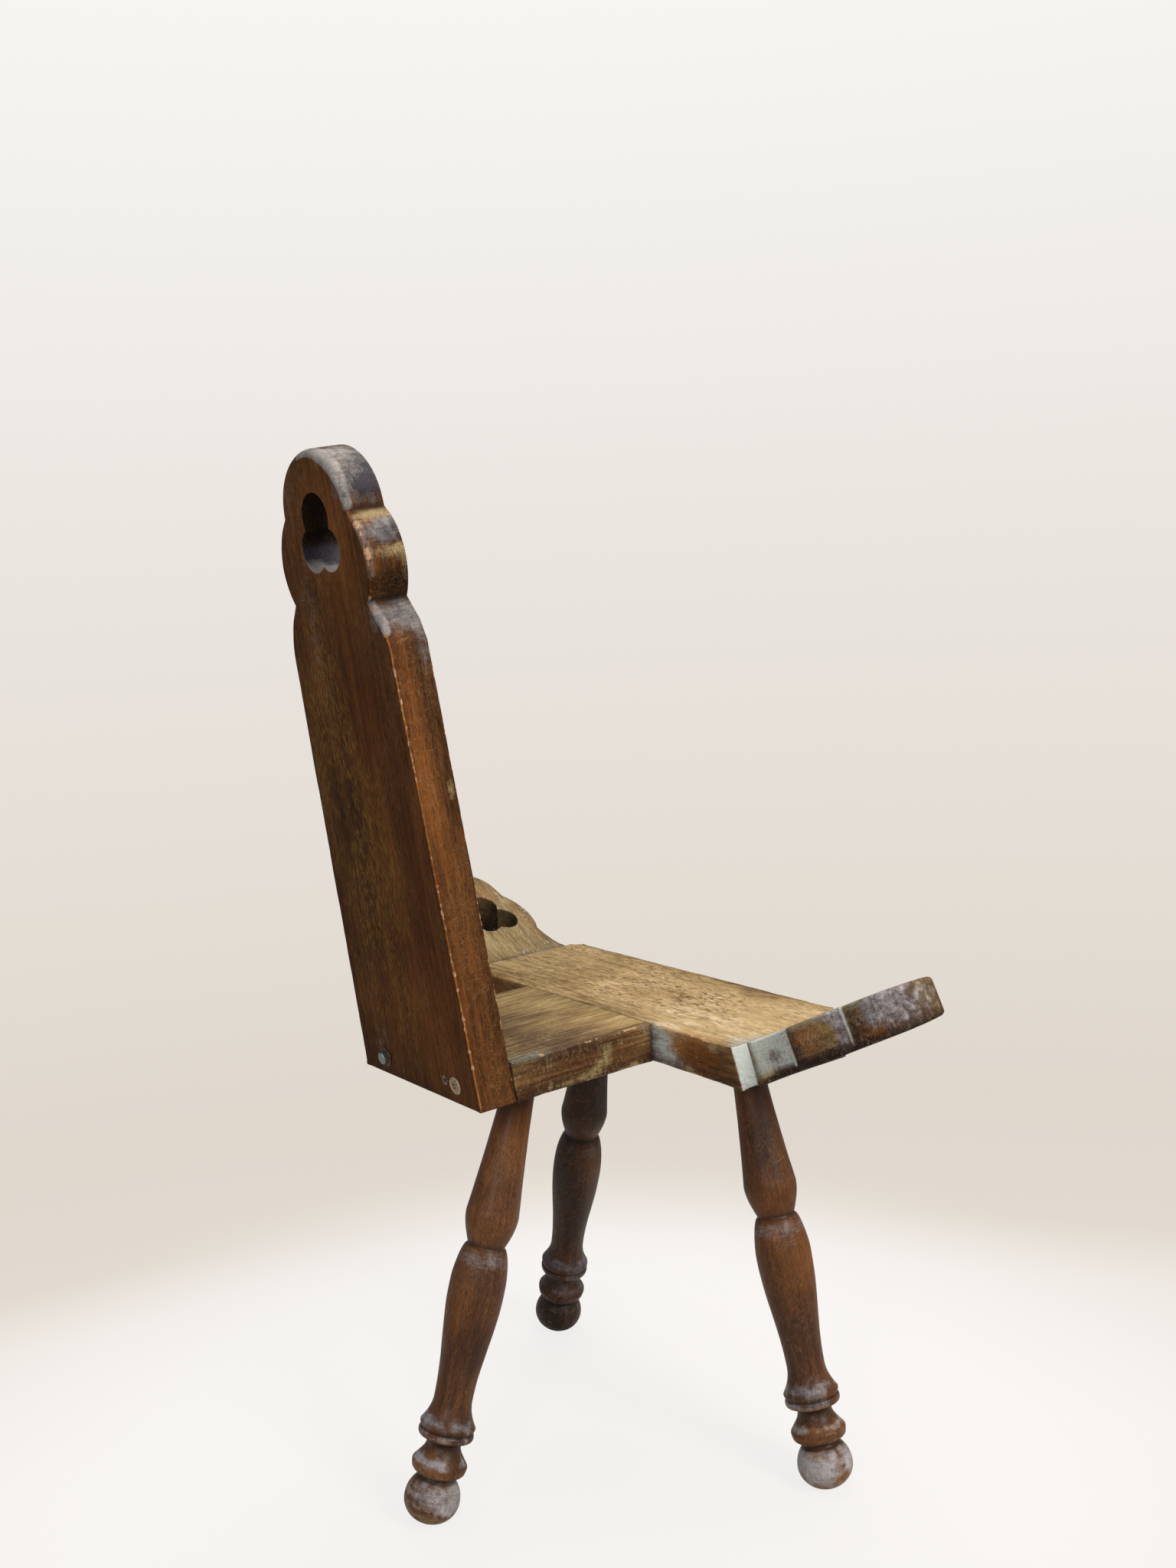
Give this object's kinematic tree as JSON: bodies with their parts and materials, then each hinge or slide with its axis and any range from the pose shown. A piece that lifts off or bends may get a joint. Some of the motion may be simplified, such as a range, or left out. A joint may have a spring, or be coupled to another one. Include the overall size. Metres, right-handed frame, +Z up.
{
  "type": "three-legged plank chair",
  "caption": "Rustic oak chair with a T-shaped plank seat, a tall tapered back and two raised side wings with trefoil hand holes, on splayed turned ball-foot legs.",
  "frame": {"origin": "on the floor, in the middle of the chair's plan", "axes": "+Z up, the front of the chair faces -Y, the sitter's left is +X"},
  "size_m": [0.6994, 0.3926, 0.9268],
  "materials": {
    "back_oak": "dark stained oak, waxed, with worn edges",
    "seat_oak": "oak polished by use to a honey colour, dark stain left in the grain",
    "wing_oak": "oak rubbed pale on top, dark stained on its sides",
    "leg_oak": "dark stained turned oak, satin",
    "dowel_wood": "plain beech, unfinished",
    "zinc_steel": "zinc-plated steel, dulled",
    "old_steel": "bare steel, tarnished",
    "dull_brass": "tarnished brass"
  },
  "bodies": {
    "root": {"back_plank": "back_oak", "seat_rear_board": "seat_oak", "seat_cross_board": "seat_oak", "left_wing": "wing_oak", "right_wing": "wing_oak", "rear_leg": "leg_oak", "left_front_leg": "leg_oak", "right_front_leg": "leg_oak", "seam_dowels": "dowel_wood", "back_dowels": "dowel_wood", "left_wing_dowels": "dowel_wood", "right_wing_dowels": "dowel_wood", "coach_screw": "zinc_steel", "coach_screw_washer": "zinc_steel", "short_screw": "old_steel", "long_screw": "old_steel", "screw_cup": "dull_brass"}
  },
  "joints": []
}
